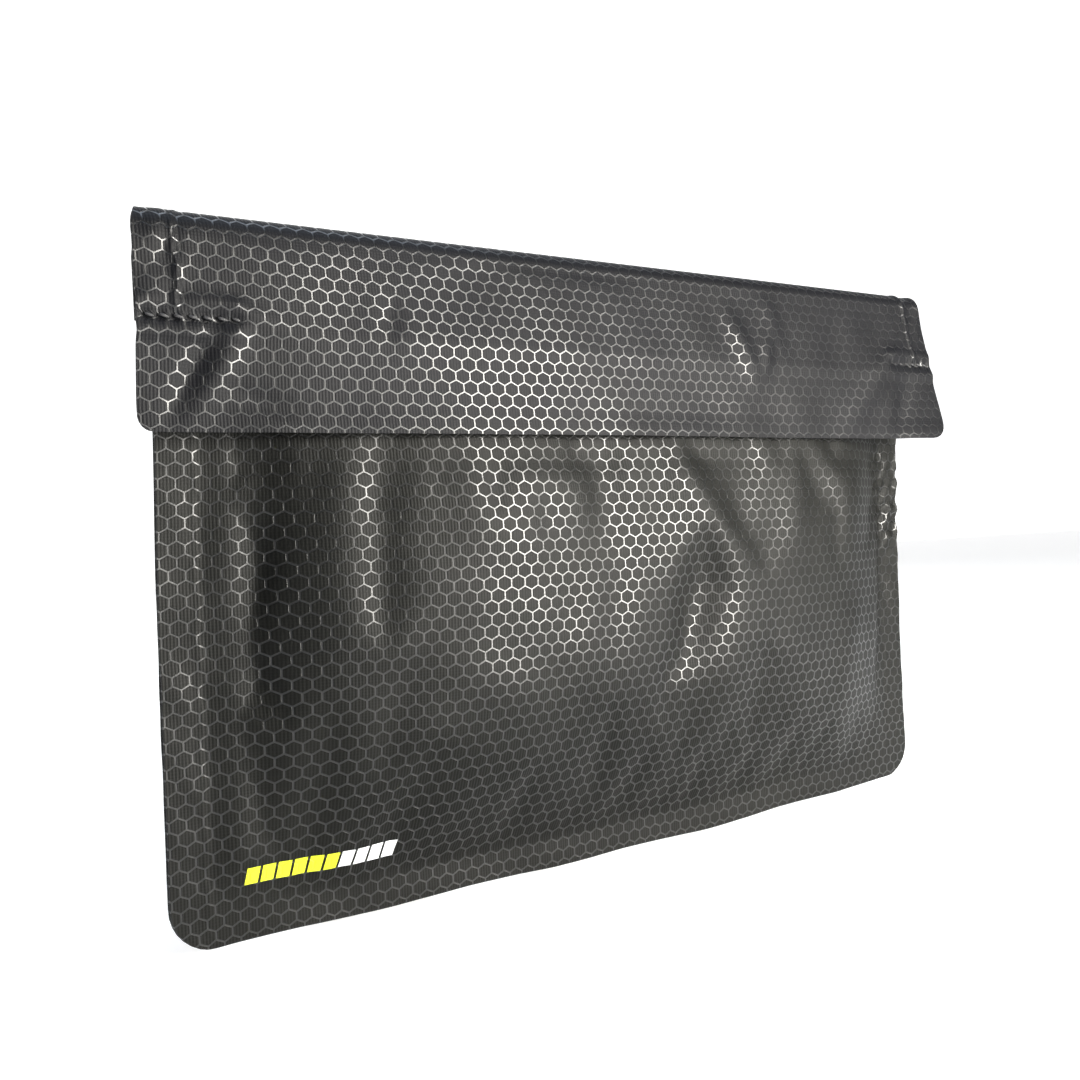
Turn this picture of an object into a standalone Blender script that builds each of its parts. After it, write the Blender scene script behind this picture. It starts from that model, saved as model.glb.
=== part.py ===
"""A flat, fire-resistant storage pouch for lithium-polymer packs, in metres, +Z up.

The front of the pouch faces -Y. Two coated panels are fused along their sides and bottom into a
tube. The tube's top, the neck, folds forward over the front, with the mouth at its end. A single
layer of the back panel runs on past the mouth as the flap, and closes on the front with hook and
loop. The origin is the middle of the bottom edge, in the plane where the two panels are fused.

Layers beside the fold are placed in the fold's own frame: "along" is the distance down the folded
neck from the fold's axis, and "offset" is the distance out of the front, away from the pouch.
"""

import math

import bpy

WIDTH = 0.300
HEIGHT = 0.180
WELD_WIDTH = 0.010
CORNER_RADIUS = 0.012

CLOTH = 0.0006
LINING = 0.0004
STRIP = 0.0008
THREAD = 0.0003
GAP = 0.0003

FRONT_BULGE = 0.018
FRONT_FULLEST_Z = 0.075
FRONT_FLAT_FROM_Z = 0.118
FRONT_SHOULDER = 0.028
BACK_BULGE = 0.005
BACK_FLAT_FROM_Z = 0.045
BACK_FLAT_TO_Z = 0.120
BACK_SHOULDER = 0.035
THROAT_Z = 0.160
FRONT_TOP_Z = 0.168

FRONT_SLOPE = math.radians(12)
NECK_LENGTH = 0.023
NECK_START = 0.0006
LIP_HINGE_ALONG = 0.0015
LIP_START = 0.0022
MOUTH_STRIP_LENGTH = 0.013
FLAP_LENGTH = 0.0263
FLAP_TILT = math.radians(6)
FLAP_HINGE_PROUD = 0.0001
FLAP_CORNER_RADIUS = 0.008
CLOSURE_STRIP_LENGTH = 0.0185
TACK_LENGTH = 0.025
TACK_HEIGHT = 0.0012

HALF_WIDTH = WIDTH / 2
INNER_HALF = HALF_WIDTH - WELD_WIDTH
BACK_FACE_Y = GAP / 2 + CLOTH
NECK_LAYERS = (
    ("lip_panel", CLOTH),
    ("lip_liner", LINING),
    ("mouth_loop_strip", STRIP),
    ("mouth_hook_strip", STRIP),
    ("neck_liner", LINING),
    ("neck_panel", CLOTH),
)
FOLD_RADIUS = sum(thickness + GAP for _, thickness in NECK_LAYERS)
AXIS_Y = BACK_FACE_Y - FOLD_RADIUS
AXIS_Z = HEIGHT - FOLD_RADIUS


def clear_scene():
    for old in list(bpy.data.objects):
        bpy.data.objects.remove(old, do_unlink=True)


def new_collection(name):
    collection = bpy.data.collections.new(name)
    bpy.context.scene.collection.children.link(collection)
    return collection


def new_material(name, colour, roughness, metallic=0.0):
    material = bpy.data.materials.new(name)
    material.use_nodes = True
    shader = material.node_tree.nodes["Principled BSDF"]
    shader.inputs["Base Color"].default_value = (*colour, 1.0)
    shader.inputs["Roughness"].default_value = roughness
    shader.inputs["Metallic"].default_value = metallic
    return material


def file_under(part, name, collection, material, parent=None):
    """Names the object, gives it its material and moves it to the pouch's collection."""
    part.name = name
    part.data.name = name
    part.data.materials.clear()
    part.data.materials.append(material)
    for holder in list(part.users_collection):
        holder.objects.unlink(part)
    collection.objects.link(part)
    part.parent = parent
    return part


def new_axis(name, collection, location, tilt=0.0, parent=None):
    """An empty on a joint's axis, which runs along X. Its -Z runs along the layers it carries."""
    axis = bpy.data.objects.new(name, None)
    axis.empty_display_size = 0.01
    collection.objects.link(axis)
    axis.parent = parent
    axis.location = location
    axis.rotation_euler = (tilt, 0.0, 0.0)
    return axis


def ease(share):
    """Rises smoothly from 0 to 1 while share goes from 0 to 1."""
    share = min(max(share, 0.0), 1.0)
    return share * share * (3.0 - 2.0 * share)


def curve_between(z, low, high, start, end, end_slope=0.0):
    """A cubic from start at low, where it is level, to end at high, where it has end_slope."""
    share = min(max((z - low) / (high - low), 0.0), 1.0)
    bend = end_slope * (high - low) * share * share * (share - 1.0)
    return start + (end - start) * ease(share) + bend


def sloped_front_y(z):
    """The front panel's outer face beside the fold, where it is a flat, leaning plane."""
    return AXIS_Y - (AXIS_Z - z) * math.tan(FRONT_SLOPE) + GAP / math.cos(FRONT_SLOPE)


def front_depth(z):
    """How far the middle of the front stands out from the weld at a height."""
    if z >= FRONT_FLAT_FROM_Z:
        return -BACK_FACE_Y - sloped_front_y(z)
    if z <= FRONT_FULLEST_Z:
        return curve_between(z, WELD_WIDTH, FRONT_FULLEST_Z, 0.0, FRONT_BULGE)
    end = -BACK_FACE_Y - sloped_front_y(FRONT_FLAT_FROM_Z)
    slope = -math.tan(FRONT_SLOPE)
    return curve_between(z, FRONT_FULLEST_Z, FRONT_FLAT_FROM_Z, FRONT_BULGE, end, slope)


def back_depth(z):
    """How far the middle of the back stands out from the weld at a height."""
    if z <= BACK_FLAT_TO_Z:
        return curve_between(z, WELD_WIDTH, BACK_FLAT_FROM_Z, 0.0, BACK_BULGE)
    return curve_between(z, BACK_FLAT_TO_Z, THROAT_Z, BACK_BULGE, 0.0)


def front_face(x, z, inset=0.0):
    across = ease((INNER_HALF - abs(x)) / FRONT_SHOULDER)
    return -BACK_FACE_Y - front_depth(z) * across + inset


def back_face(x, z, inset=0.0):
    across = ease((INNER_HALF - abs(x)) / BACK_SHOULDER)
    return BACK_FACE_Y + back_depth(z) * across - inset


def spread(*stops):
    """Positions through (place, steps, place, steps, place...), evenly spaced in each stretch."""
    places = [stops[0]]
    for steps, end in zip(stops[1::2], stops[2::2], strict=True):
        start = places[-1]
        places += [start + (end - start) * n / steps for n in range(1, steps + 1)]
    return places


def add_sheet(columns, rows, place, thickness, side):
    """A grid whose point at (column, row) goes where place says, made a shell of one thickness.

    The shell grows along the grid's normals where side is 1, and against them where it is -1.
    """
    bpy.ops.mesh.primitive_grid_add(x_subdivisions=len(columns) - 1, y_subdivisions=len(rows) - 1)
    sheet = bpy.context.object
    for vertex in sheet.data.vertices:
        column = round((vertex.co.x + 1.0) / 2.0 * (len(columns) - 1))
        row = round((vertex.co.y + 1.0) / 2.0 * (len(rows) - 1))
        vertex.co = place(columns[column], rows[row])
    shell = sheet.modifiers.new("shell", "SOLIDIFY")
    shell.thickness = thickness
    shell.offset = side
    shell.use_even_offset = True
    sheet.data.shade_smooth()
    sheet.data.set_sharp_from_angle(angle=math.radians(40))
    return sheet


def add_plate(size, location):
    bpy.ops.mesh.primitive_cube_add(size=1.0)
    plate = bpy.context.object
    for vertex in plate.data.vertices:
        vertex.co = [coordinate * length for coordinate, length in zip(vertex.co, size, strict=True)]
    plate.location = location
    return plate


def corner(centre_x, centre_y, radius, start, steps=6):
    """Points of a quarter circle that runs counterclockwise from the angle start, in degrees."""
    turn = [math.radians(start + 90.0 * n / steps) for n in range(steps + 1)]
    return [(centre_x + radius * math.cos(a), centre_y + radius * math.sin(a)) for a in turn]


def add_outline(name, points, thickness):
    """A flat plate with the outline through the points, centred on its own XY plane."""
    outline = bpy.data.curves.new(name, "CURVE")
    outline.dimensions = "2D"
    outline.fill_mode = "BOTH"
    outline.extrude = thickness / 2
    spline = outline.splines.new("POLY")
    spline.points.add(len(points) - 1)
    for target, (x, y) in zip(spline.points, points, strict=True):
        target.co = (x, y, 0.0, 1.0)
    spline.use_cyclic_u = True
    return bpy.data.objects.new(name, outline)


def add_layer(name, collection, material, axis, width, along, offset, centre_x=0.0):
    """A flat layer in an axis's frame: width across X, and (from, to) for along and offset."""
    size = (width, offset[1] - offset[0], along[1] - along[0])
    middle = (centre_x, -(offset[0] + offset[1]) / 2, -(along[0] + along[1]) / 2)
    return file_under(add_plate(size, middle), name, collection, material, axis)


def panel_columns(half, shoulder):
    return spread(-half, 8, shoulder - half, 6, half - shoulder, 8, half)


def add_pouch_panels(collection, cloth, lining):
    """The front and back panels, and the lining inside each, all open at the throat."""
    half = INNER_HALF - GAP
    low = WELD_WIDTH + GAP
    lined_half = 0.126
    lined_low = 0.030
    front_inset = 0.0015
    back_inset = 0.0012

    columns = panel_columns(half, FRONT_SHOULDER - GAP)
    rows = spread(low, 10, FRONT_FULLEST_Z, 6, FRONT_FLAT_FROM_Z, 3, FRONT_TOP_Z)
    front = add_sheet(columns, rows, lambda x, z: (x, front_face(x, z), z), CLOTH, -1)
    file_under(front, "front_panel", collection, cloth)

    columns = panel_columns(half, BACK_SHOULDER - GAP)
    rows = spread(low, 7, BACK_FLAT_FROM_Z, 2, BACK_FLAT_TO_Z, 6, THROAT_Z, 1, AXIS_Z - GAP)
    back = add_sheet(columns, rows, lambda x, z: (x, back_face(x, z), z), CLOTH, 1)
    file_under(back, "back_panel", collection, cloth)

    columns = panel_columns(lined_half, lined_half - INNER_HALF + FRONT_SHOULDER)
    rows = spread(lined_low, 8, FRONT_FULLEST_Z, 6, FRONT_FLAT_FROM_Z, 2, THROAT_Z)

    def place_front_liner(x, z):
        return x, front_face(x, z, front_inset), z

    liner = add_sheet(columns, rows, place_front_liner, LINING, -1)
    file_under(liner, "front_liner", collection, lining)

    columns = panel_columns(lined_half, lined_half - INNER_HALF + BACK_SHOULDER)
    rows = spread(lined_low, 4, BACK_FLAT_FROM_Z, 2, BACK_FLAT_TO_Z, 6, THROAT_Z)

    def place_back_liner(x, z):
        return x, back_face(x, z, back_inset), z

    liner = add_sheet(columns, rows, place_back_liner, LINING, 1)
    file_under(liner, "back_liner", collection, lining)


def add_pouch_welds(collection, cloth):
    """The fused border: a band up each side, and one along the bottom with round corners."""
    thick = 2 * BACK_FACE_Y
    low = CORNER_RADIUS + GAP
    high = AXIS_Z - GAP
    for side, sign in (("left", -1), ("right", 1)):
        size = (WELD_WIDTH - GAP / 2, thick, high - low)
        middle = (sign * (HALF_WIDTH - size[0] / 2), 0.0, (low + high) / 2)
        file_under(add_plate(size, middle), f"side_weld_{side}", collection, cloth)

    reach = HALF_WIDTH - CORNER_RADIUS
    outline = corner(-reach, CORNER_RADIUS, CORNER_RADIUS, 180)
    outline += corner(reach, CORNER_RADIUS, CORNER_RADIUS, 270)
    outline += [(INNER_HALF + GAP / 2, CORNER_RADIUS), (INNER_HALF + GAP / 2, WELD_WIDTH)]
    outline += [(-INNER_HALF - GAP / 2, WELD_WIDTH), (-INNER_HALF - GAP / 2, CORNER_RADIUS)]
    bottom = add_outline("bottom_weld", outline, thick)
    bottom.rotation_euler = (math.radians(90), 0.0, 0.0)
    file_under(bottom, "bottom_weld", collection, cloth)


def add_closure_loop_strip(collection, tape):
    """The loop strip on the front, under the flap."""
    holder = new_axis("closure_frame", collection, (0.0, AXIS_Y, AXIS_Z), -FRONT_SLOPE)
    start = NECK_LENGTH + FLAP_LENGTH - CLOSURE_STRIP_LENGTH - 0.001
    along = (start, start + CLOSURE_STRIP_LENGTH)
    width = 2 * (INNER_HALF - FRONT_SHOULDER - 0.002)
    add_layer("closure_loop_strip", collection, tape, holder, width, along, (0.0, STRIP))


def add_top_fold(collection, cloth):
    """The bend of the back panel over the top, from the back panel's edge to the neck's."""
    end_gap = math.degrees(2 * GAP / FOLD_RADIUS)
    neck_gap = math.degrees(NECK_START / FOLD_RADIUS)
    angles = spread(90.0 - end_gap, 14, FRONT_SLOPE * 180 / math.pi - 90.0 + end_gap - neck_gap)
    columns = spread(-HALF_WIDTH, 6, HALF_WIDTH)

    def place(x, angle):
        turn = math.radians(angle)
        y = AXIS_Y + FOLD_RADIUS * math.sin(turn)
        return x, y, AXIS_Z + FOLD_RADIUS * math.cos(turn)

    bend = add_sheet(columns, angles, place, CLOTH, 1)
    file_under(bend, "top_fold", collection, cloth)


def neck_offsets():
    """Each neck layer's (from, to) offset, counted out from the fold's plane."""
    offsets = {}
    reached = 0.0
    for name, thickness in NECK_LAYERS:
        offsets[name] = (reached + GAP, reached + GAP + thickness)
        reached += GAP + thickness
    return offsets


def add_neck(collection, cloth, lining, tape, thread):
    """The folded neck, its lip, which opens the mouth, and the flap beyond the mouth."""
    offsets = neck_offsets()
    strip_end = NECK_LENGTH - 0.002
    strip_along = (strip_end - MOUTH_STRIP_LENGTH, strip_end)
    strip_width = 0.250
    panel_along = (NECK_START, NECK_LENGTH - GAP / 2)
    panel_width = 2 * (INNER_HALF - GAP)
    neck = new_axis("neck_fold_axis", collection, (0.0, AXIS_Y, AXIS_Z), -FRONT_SLOPE)

    spans = {"neck_panel": (panel_width, panel_along, cloth)}
    spans["neck_liner"] = (0.272, (0.003, NECK_LENGTH - 0.001), lining)
    spans["mouth_hook_strip"] = (strip_width, strip_along, tape)
    for name, (width, along, material) in spans.items():
        add_layer(name, collection, material, neck, width, along, offsets[name])

    outer = offsets["neck_panel"][1]
    weld = (outer - 2 * CLOTH, outer)
    weld_x = HALF_WIDTH - WELD_WIDTH / 2
    tack = (outer + GAP, outer + GAP + THREAD)
    tack_along = (NECK_LENGTH - 0.002, NECK_LENGTH - 0.002 + TACK_HEIGHT)
    tack_x = HALF_WIDTH - 0.001 - TACK_LENGTH / 2
    for side, sign in (("left", -1), ("right", 1)):
        name = f"neck_weld_{side}"
        width = WELD_WIDTH - GAP / 2
        add_layer(name, collection, cloth, neck, width, panel_along, weld, sign * (weld_x + GAP / 4))
        name = f"mouth_tack_{side}"
        add_layer(name, collection, thread, neck, TACK_LENGTH, tack_along, tack, sign * tack_x)

    add_lip(collection, cloth, lining, tape, neck, strip_width, strip_along, offsets)
    add_flap(collection, cloth, tape, neck, offsets["neck_panel"])


def add_lip(collection, cloth, lining, tape, neck, strip_width, strip_along, offsets):
    """The neck's front layer, hinged at the fold so that the mouth can gape."""
    hinge_offset = sum(offsets["lip_panel"]) / 2
    lip = new_axis("lip_axis", collection, (0.0, -hinge_offset, -LIP_HINGE_ALONG), 0.0, neck)
    spans = {"lip_panel": (0.2788, (LIP_START, NECK_LENGTH), cloth)}
    spans["lip_liner"] = (0.268, (0.004, NECK_LENGTH - 0.001), lining)
    spans["mouth_loop_strip"] = (strip_width, strip_along, tape)
    for name, (width, along, material) in spans.items():
        own_along = [place - LIP_HINGE_ALONG for place in along]
        own_offset = [place - hinge_offset for place in offsets[name]]
        add_layer(name, collection, material, lip, width, own_along, own_offset)


def add_flap(collection, cloth, tape, neck, panel_offset):
    """The single-layer flap, hinged on its outer face at the mouth, with its hook strip inside."""
    hinge_offset = panel_offset[1] + FLAP_HINGE_PROUD
    flap = new_axis("flap_axis", collection, (0.0, -hinge_offset, -NECK_LENGTH), FLAP_TILT, neck)
    reach = HALF_WIDTH - FLAP_CORNER_RADIUS
    low = FLAP_CORNER_RADIUS - FLAP_LENGTH
    outline = corner(-reach, low, FLAP_CORNER_RADIUS, 180)
    outline += corner(reach, low, FLAP_CORNER_RADIUS, 270)
    outline += [(HALF_WIDTH, -GAP / 2), (-HALF_WIDTH, -GAP / 2)]
    panel = add_outline("flap_panel", outline, CLOTH)
    panel.rotation_euler = (math.radians(90), 0.0, 0.0)
    panel.location = (0.0, FLAP_HINGE_PROUD + CLOTH / 2, 0.0)
    file_under(panel, "flap_panel", collection, cloth, flap)

    end = FLAP_LENGTH - 0.0012
    skin = FLAP_HINGE_PROUD + CLOTH + GAP
    inner = (-skin - STRIP, -skin)
    width = 2 * (INNER_HALF - FRONT_SHOULDER - 0.002)
    along = (end - CLOSURE_STRIP_LENGTH, end)
    add_layer("flap_hook_strip", collection, tape, flap, width, along, inner)


def build():
    clear_scene()
    pouch = new_collection("lipo_safe_bag")
    cloth = new_material("coated_honeycomb_cloth", (0.020, 0.021, 0.021), 0.42)
    lining = new_material("fibreglass_lining", (0.55, 0.54, 0.50), 0.80)
    tape = new_material("hook_and_loop_tape", (0.012, 0.012, 0.013), 0.90)
    thread = new_material("tack_thread", (0.03, 0.03, 0.032), 0.60)
    add_pouch_panels(pouch, cloth, lining)
    add_pouch_welds(pouch, cloth)
    add_closure_loop_strip(pouch, tape)
    add_top_fold(pouch, cloth)
    add_neck(pouch, cloth, lining, tape, thread)


build()
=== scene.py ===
"""Looks for the soft storage pouch: coated honeycomb cloth, linings, hook and loop, and studio.

Lengths are in metres. A sheet is a grid of points, rows first, and its face is the finished side
of the cloth. Its UV map, "flat", is the place in the cut cloth, in metres, so the honeycomb keeps
its size. "along" is the distance down the folded neck from the fold's axis, and "offset" is the
distance out of the front from that axis.
"""

import math

import bpy
import numpy as np
from mathutils import Matrix, Vector


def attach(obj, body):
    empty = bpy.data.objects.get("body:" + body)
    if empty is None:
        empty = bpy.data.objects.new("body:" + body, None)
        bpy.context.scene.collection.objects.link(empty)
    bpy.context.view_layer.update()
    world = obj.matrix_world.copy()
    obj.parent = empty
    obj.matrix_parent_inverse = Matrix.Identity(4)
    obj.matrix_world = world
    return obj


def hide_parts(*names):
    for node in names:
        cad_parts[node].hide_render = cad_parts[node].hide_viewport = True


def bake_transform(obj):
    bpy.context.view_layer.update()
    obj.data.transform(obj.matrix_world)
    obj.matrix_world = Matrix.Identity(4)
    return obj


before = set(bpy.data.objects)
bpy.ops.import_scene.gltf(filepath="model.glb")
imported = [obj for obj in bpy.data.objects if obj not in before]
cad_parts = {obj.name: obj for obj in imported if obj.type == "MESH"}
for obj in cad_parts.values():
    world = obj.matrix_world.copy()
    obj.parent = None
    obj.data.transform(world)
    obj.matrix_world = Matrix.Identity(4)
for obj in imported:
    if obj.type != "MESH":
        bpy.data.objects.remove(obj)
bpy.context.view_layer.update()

HALF_WIDTH = 0.150
INNER_HALF = 0.140
CORNER_RADIUS = 0.012
CLOTH = 0.0006
LINING = 0.0004
STRIP = 0.0008
WELD_FACE = 0.00075
FRONT_SHOULDER = 0.045
LOOP_REACH = 0.110
BACK_SHOULDER = 0.035
FRONT_BULGE = 0.0165
BACK_BULGE = 0.005
FOLD_RADIUS = 0.0054
FOLD_PEAK = 0.0006
AXIS_Y = -0.00465
AXIS_Z = 0.1746
SLOPE = math.radians(12)
FLAP_TILT = math.radians(6)
FOLD_TURN = math.pi - SLOPE
NECK_LENGTH = 0.023
FLAP_LENGTH = 0.0263
FLAP_CORNER = 0.008
FLAP_LEFT_CORNER = 0.004
BAND_TOP = 0.158
BAND_RADIUS = FOLD_RADIUS - 2 * WELD_FACE

HEX_WIDTH = 0.0046
HEX_ROW = 0.0032

# The left end is pressed flat: where that starts, how far on it is complete, and what it does.
PRESSED_FROM = -0.045
PRESSED_REACH = 0.105
PRESSED_SLOPE = 0.92
PRESSED_BULGE = 0.62
PRESSED_TURN = 0.19
PRESSED_SHIFT = 0.0027
PRESSED_SHEAR = 0.0072

MM = 0.001


# ---------------------------------------------------------------- shapes


def ease(share):
    """Rises smoothly from 0 to 1 while share goes from 0 to 1."""
    share = np.clip(share, 0.0, 1.0)
    return share * share * (3.0 - 2.0 * share)


def spread(*stops):
    """Positions through (place, steps, place, steps, place...), evenly spaced in each stretch."""
    places = [stops[0]]
    for steps, end in zip(stops[1::2], stops[2::2], strict=True):
        start = places[-1]
        places += [start + (end - start) * n / steps for n in range(1, steps + 1)]
    return np.array(places)


def ripple(x, z, size, seed, waves=7):
    """A smooth random field between about -1 and 1, whose waves are about as long as size."""
    dice = np.random.default_rng(seed)
    total = np.zeros(np.broadcast(x, z).shape)
    for _ in range(waves):
        turn = dice.uniform(0.0, math.tau)
        length = size * dice.uniform(0.7, 1.5)
        phase = dice.uniform(0.0, math.tau)
        total += np.sin(math.tau * (x * math.cos(turn) + z * math.sin(turn)) / length + phase)
    return total / math.sqrt(waves * 2.0)


def creases(x, z, table):
    """Adds up soft ridges and valleys: (x, z, turn in degrees, length, width, height), in mm."""
    total = np.zeros(np.broadcast(x, z).shape)
    for middle_x, middle_z, turn, length, width, height in table:
        side = x / MM - middle_x
        up = z / MM - middle_z
        angle = math.radians(turn)
        run = side * math.cos(angle) + up * math.sin(angle)
        across = up * math.cos(angle) - side * math.sin(angle)
        total += height * np.exp(-((run / length) ** 2) - (across / width) ** 2)
    return total * MM


def left_share(x):
    """0 over most of the width, rising to 1 at the left end, where the pouch is pressed flat."""
    return ease((PRESSED_FROM - x) / PRESSED_REACH)


def front_depth(x, z):
    """How far the front stands out from the weld, before it falls away to its borders.

    It fills out from low up to fullest, then bends over to lie in the neck's plane at flat_from.
    """
    fullest, flat_from, low, gap = 0.075, 0.118, 0.010, 0.0003
    slope = math.tan(SLOPE) * (1.0 - PRESSED_SLOPE * left_share(x))
    bulge = FRONT_BULGE * (1.0 - PRESSED_BULGE * left_share(x))
    plane = -WELD_FACE - (AXIS_Y - (AXIS_Z - z) * slope + gap)
    end = -WELD_FACE - (AXIS_Y - (AXIS_Z - flat_from) * slope + gap)
    climb = np.clip((z - low) / (fullest - low), 0.0, 1.0)
    rise = bulge * (1.0 - (1.0 - climb) ** 3.0)
    share = np.clip((z - fullest) / (flat_from - fullest), 0.0, 1.0)
    bend = -slope * (flat_from - fullest) * share * share * (share - 1.0)
    fall = bulge + (end - bulge) * ease(share) + bend
    return np.where(z >= flat_from, plane, np.where(z <= fullest, rise, fall))


def back_depth(z):
    """How far the middle of the back stands out from the weld at a height."""
    rise = BACK_BULGE * ease((z - 0.010) / 0.035)
    fall = BACK_BULGE * (1.0 - ease((z - 0.120) / 0.040))
    return np.where(z <= 0.120, rise, fall)


def outline_half(z):
    """Half the cut width at a height, which narrows round the bottom corners."""
    drop = np.clip(CORNER_RADIUS - z, 0.0, CORNER_RADIUS)
    return HALF_WIDTH - CORNER_RADIUS + np.sqrt(CORNER_RADIUS**2 - drop**2)


def weld_relief(x, z):
    """The fused seam's raised, slightly wavering line beside the border, and the border's puckers."""
    line = INNER_HALF + 0.0004 * np.sin(z * 420.0) + 0.0003 * np.sin(z * 1130.0 + 1.0)
    ridge = 0.00013 * np.exp(-(((np.abs(x) - line) / 0.0008) ** 2))
    pucker = 0.00010 * ripple(x, z, 0.011, 11) * ease((np.abs(x) - 0.134) / 0.006)
    return ridge + pucker


def drawn_in(x, z):
    """The filled pouch draws its sides in below the neck, most at mid-height."""
    below = ease((0.150 - z) / 0.030)
    right = 0.0016 * ease(x / HALF_WIDTH) * np.sin(np.clip((z - 0.01) / 0.140, 0.0, 1.0) * math.pi)
    left_top = PRESSED_SHIFT * left_share(x) * (1.0 - below)
    return x * (1.0 - 0.018 * below) - right * below + left_top


def lifted(x, z):
    """The bottom edge isn't quite straight: it lifts at the right corner and waves a little."""
    low = ease((0.045 - z) / 0.045)
    wave = 0.0003 * (1.0 + np.sin(x * 95.0 + 0.6))
    return z + low * (0.0030 * ease((x - 0.02) / 0.13) + wave)


FRONT_CREASES = (
    (-127, 90, 80, 17, 7, -3.4),
    (-130, 70, 128, 13, 6, -2.8),
    (-107, 84, 87, 34, 11, 1.6),
    (-95, 84, 88, 24, 8, -1.4),
    (-62, 80, 90, 66, 26, 1.6),
    (0, 121, 0, 110, 5, -1.3),
    (-17, 110, 84, 14, 9, -1.6),
    (20, 76, 74, 20, 10, -3.4),
    (27, 101, -46, 26, 9, 2.4),
    (36, 56, 60, 20, 12, 1.4),
    (68, 84, 95, 32, 12, 1.0),
    (99, 66, 95, 40, 22, -2.6),
    (118, 100, 60, 18, 9, -1.4),
)
BACK_CREASES = (
    (-96, 84, 70, 34, 12, 1.2),
    (-60, 60, 100, 30, 9, -1.3),
    (30, 96, 60, 36, 12, 1.1),
    (88, 66, 110, 30, 10, -1.2),
    (112, 112, 40, 20, 7, 0.8),
)


def margin_lean(x, z):
    """The left border leans out under the flap, whose end is pressed on it."""
    return 0.0018 * ease((-0.120 - x) / 0.024) * np.exp(-(((z - 0.128) / 0.026) ** 2))


def kept_open(depth, x, z, least):
    """Keeps a panel at least that far from the weld's plane, so that its lining has room."""
    least = least * ease((INNER_HALF - np.abs(x)) / 0.010) * ease((z - 0.008) / 0.016)
    return np.where(depth < least, least + 0.12 * (depth - least), depth)


def front_place(x, z):
    """The front cloth's outer face before it settles."""
    across = ease((INNER_HALF - np.abs(x)) / FRONT_SHOULDER)
    free = ease((0.130 - z) / 0.013) * ease((INNER_HALF - np.abs(x)) / 0.010)
    free = free * ease((z - 0.008) / 0.022)
    y = -WELD_FACE - front_depth(x, z) * across - free * creases(x, z, FRONT_CREASES)
    return np.stack([drawn_in(x, z), y, lifted(x, z)], axis=-1)


def back_place(x, z):
    """The back cloth's outer face below the fold, before it settles."""
    across = ease((INNER_HALF - np.abs(x)) / BACK_SHOULDER)
    free = ease((0.150 - z) / 0.030) * ease((INNER_HALF - np.abs(x)) / 0.020)
    free = free * ease((z - 0.008) / 0.022)
    y = WELD_FACE + back_depth(z) * across + free * creases(x, z, BACK_CREASES)
    return np.stack([drawn_in(x, z), y, lifted(x, z)], axis=-1)


def layer_place(x, along, offset):
    """A point of the folded neck."""
    y = AXIS_Y - along * math.sin(SLOPE) - offset * math.cos(SLOPE)
    z = AXIS_Z - along * math.cos(SLOPE) + offset * math.sin(SLOPE)
    return np.stack(np.broadcast_arrays(x, y, z), axis=-1)


def twisted(points):
    """Turns the left end of a folded layer back to lie flat over the pouch's pressed end."""
    share = left_share(points[..., 0])
    y = points[..., 1]
    below = np.clip(AXIS_Z - points[..., 2], 0.0, None)
    below = below * below / (below + 0.002)
    forward = np.clip((WELD_FACE - y) / (2.0 * FOLD_RADIUS), 0.0, 1.0)
    points = points.copy()
    points[..., 1] = y + np.where(y < AXIS_Y, PRESSED_TURN * share * below, 0.0)
    points[..., 0] += share * (PRESSED_SHIFT - PRESSED_SHEAR * forward)
    return points


def along_cloth(points, uv):
    """The UV with its left end measured along the pressed cloth, so the honeycomb isn't stretched."""
    steps = np.linalg.norm(np.diff(points[..., :2], axis=1), axis=-1)
    plain = np.diff(uv[..., 0], axis=1)
    bent = points[:, :-1, 0] < PRESSED_FROM
    steps = np.where(bent, np.maximum(steps, plain), plain)
    from_right = np.cumsum(steps[:, ::-1], axis=1)[:, ::-1]
    uv = uv.copy()
    uv[:, :-1, 0] = uv[:, -1:, 0] - from_right
    return uv


# ---------------------------------------------------------------- meshes


def grid_mesh(name, points, uv, flip=False):
    """A mesh of quads through a grid of points, with the UV map "flat"."""
    rows, columns = points.shape[:2]
    index = np.arange(rows * columns).reshape(rows, columns)
    corners = [index[:-1, :-1], index[:-1, 1:], index[1:, 1:], index[1:, :-1]]
    if flip:
        corners = corners[::-1]
    faces = np.stack(corners, axis=-1).reshape(-1, 4)
    mesh = bpy.data.meshes.new(name)
    mesh.from_pydata(points.reshape(-1, 3).tolist(), [], faces.tolist())
    mesh.uv_layers.new(name="flat")
    set_uv(mesh, uv)
    mesh.shade_smooth()
    return mesh


def set_uv(mesh, uv):
    loops = np.zeros(len(mesh.loops), dtype=np.int32)
    mesh.loops.foreach_get("vertex_index", loops)
    places = uv.reshape(-1, 2)[loops].astype(np.float32).ravel()
    mesh.uv_layers["flat"].data.foreach_set("uv", places)


def add_object(name, mesh, *materials):
    thing = bpy.data.objects.new(name, mesh)
    bpy.context.scene.collection.objects.link(thing)
    for material in materials:
        mesh.materials.append(material)
    return thing


def thicken(thing, thickness):
    """Gives a sheet its thickness behind its finished face; the second material is its back."""
    shell = thing.modifiers.new("thickness", "SOLIDIFY")
    shell.thickness = thickness
    shell.offset = -1.0
    shell.use_even_offset = True
    if len(thing.data.materials) > 1:
        shell.material_offset = 1
    crisp = thing.modifiers.new("crisp_edges", "NODES")
    crisp.node_group = crisp_edges()
    return thing


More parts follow.
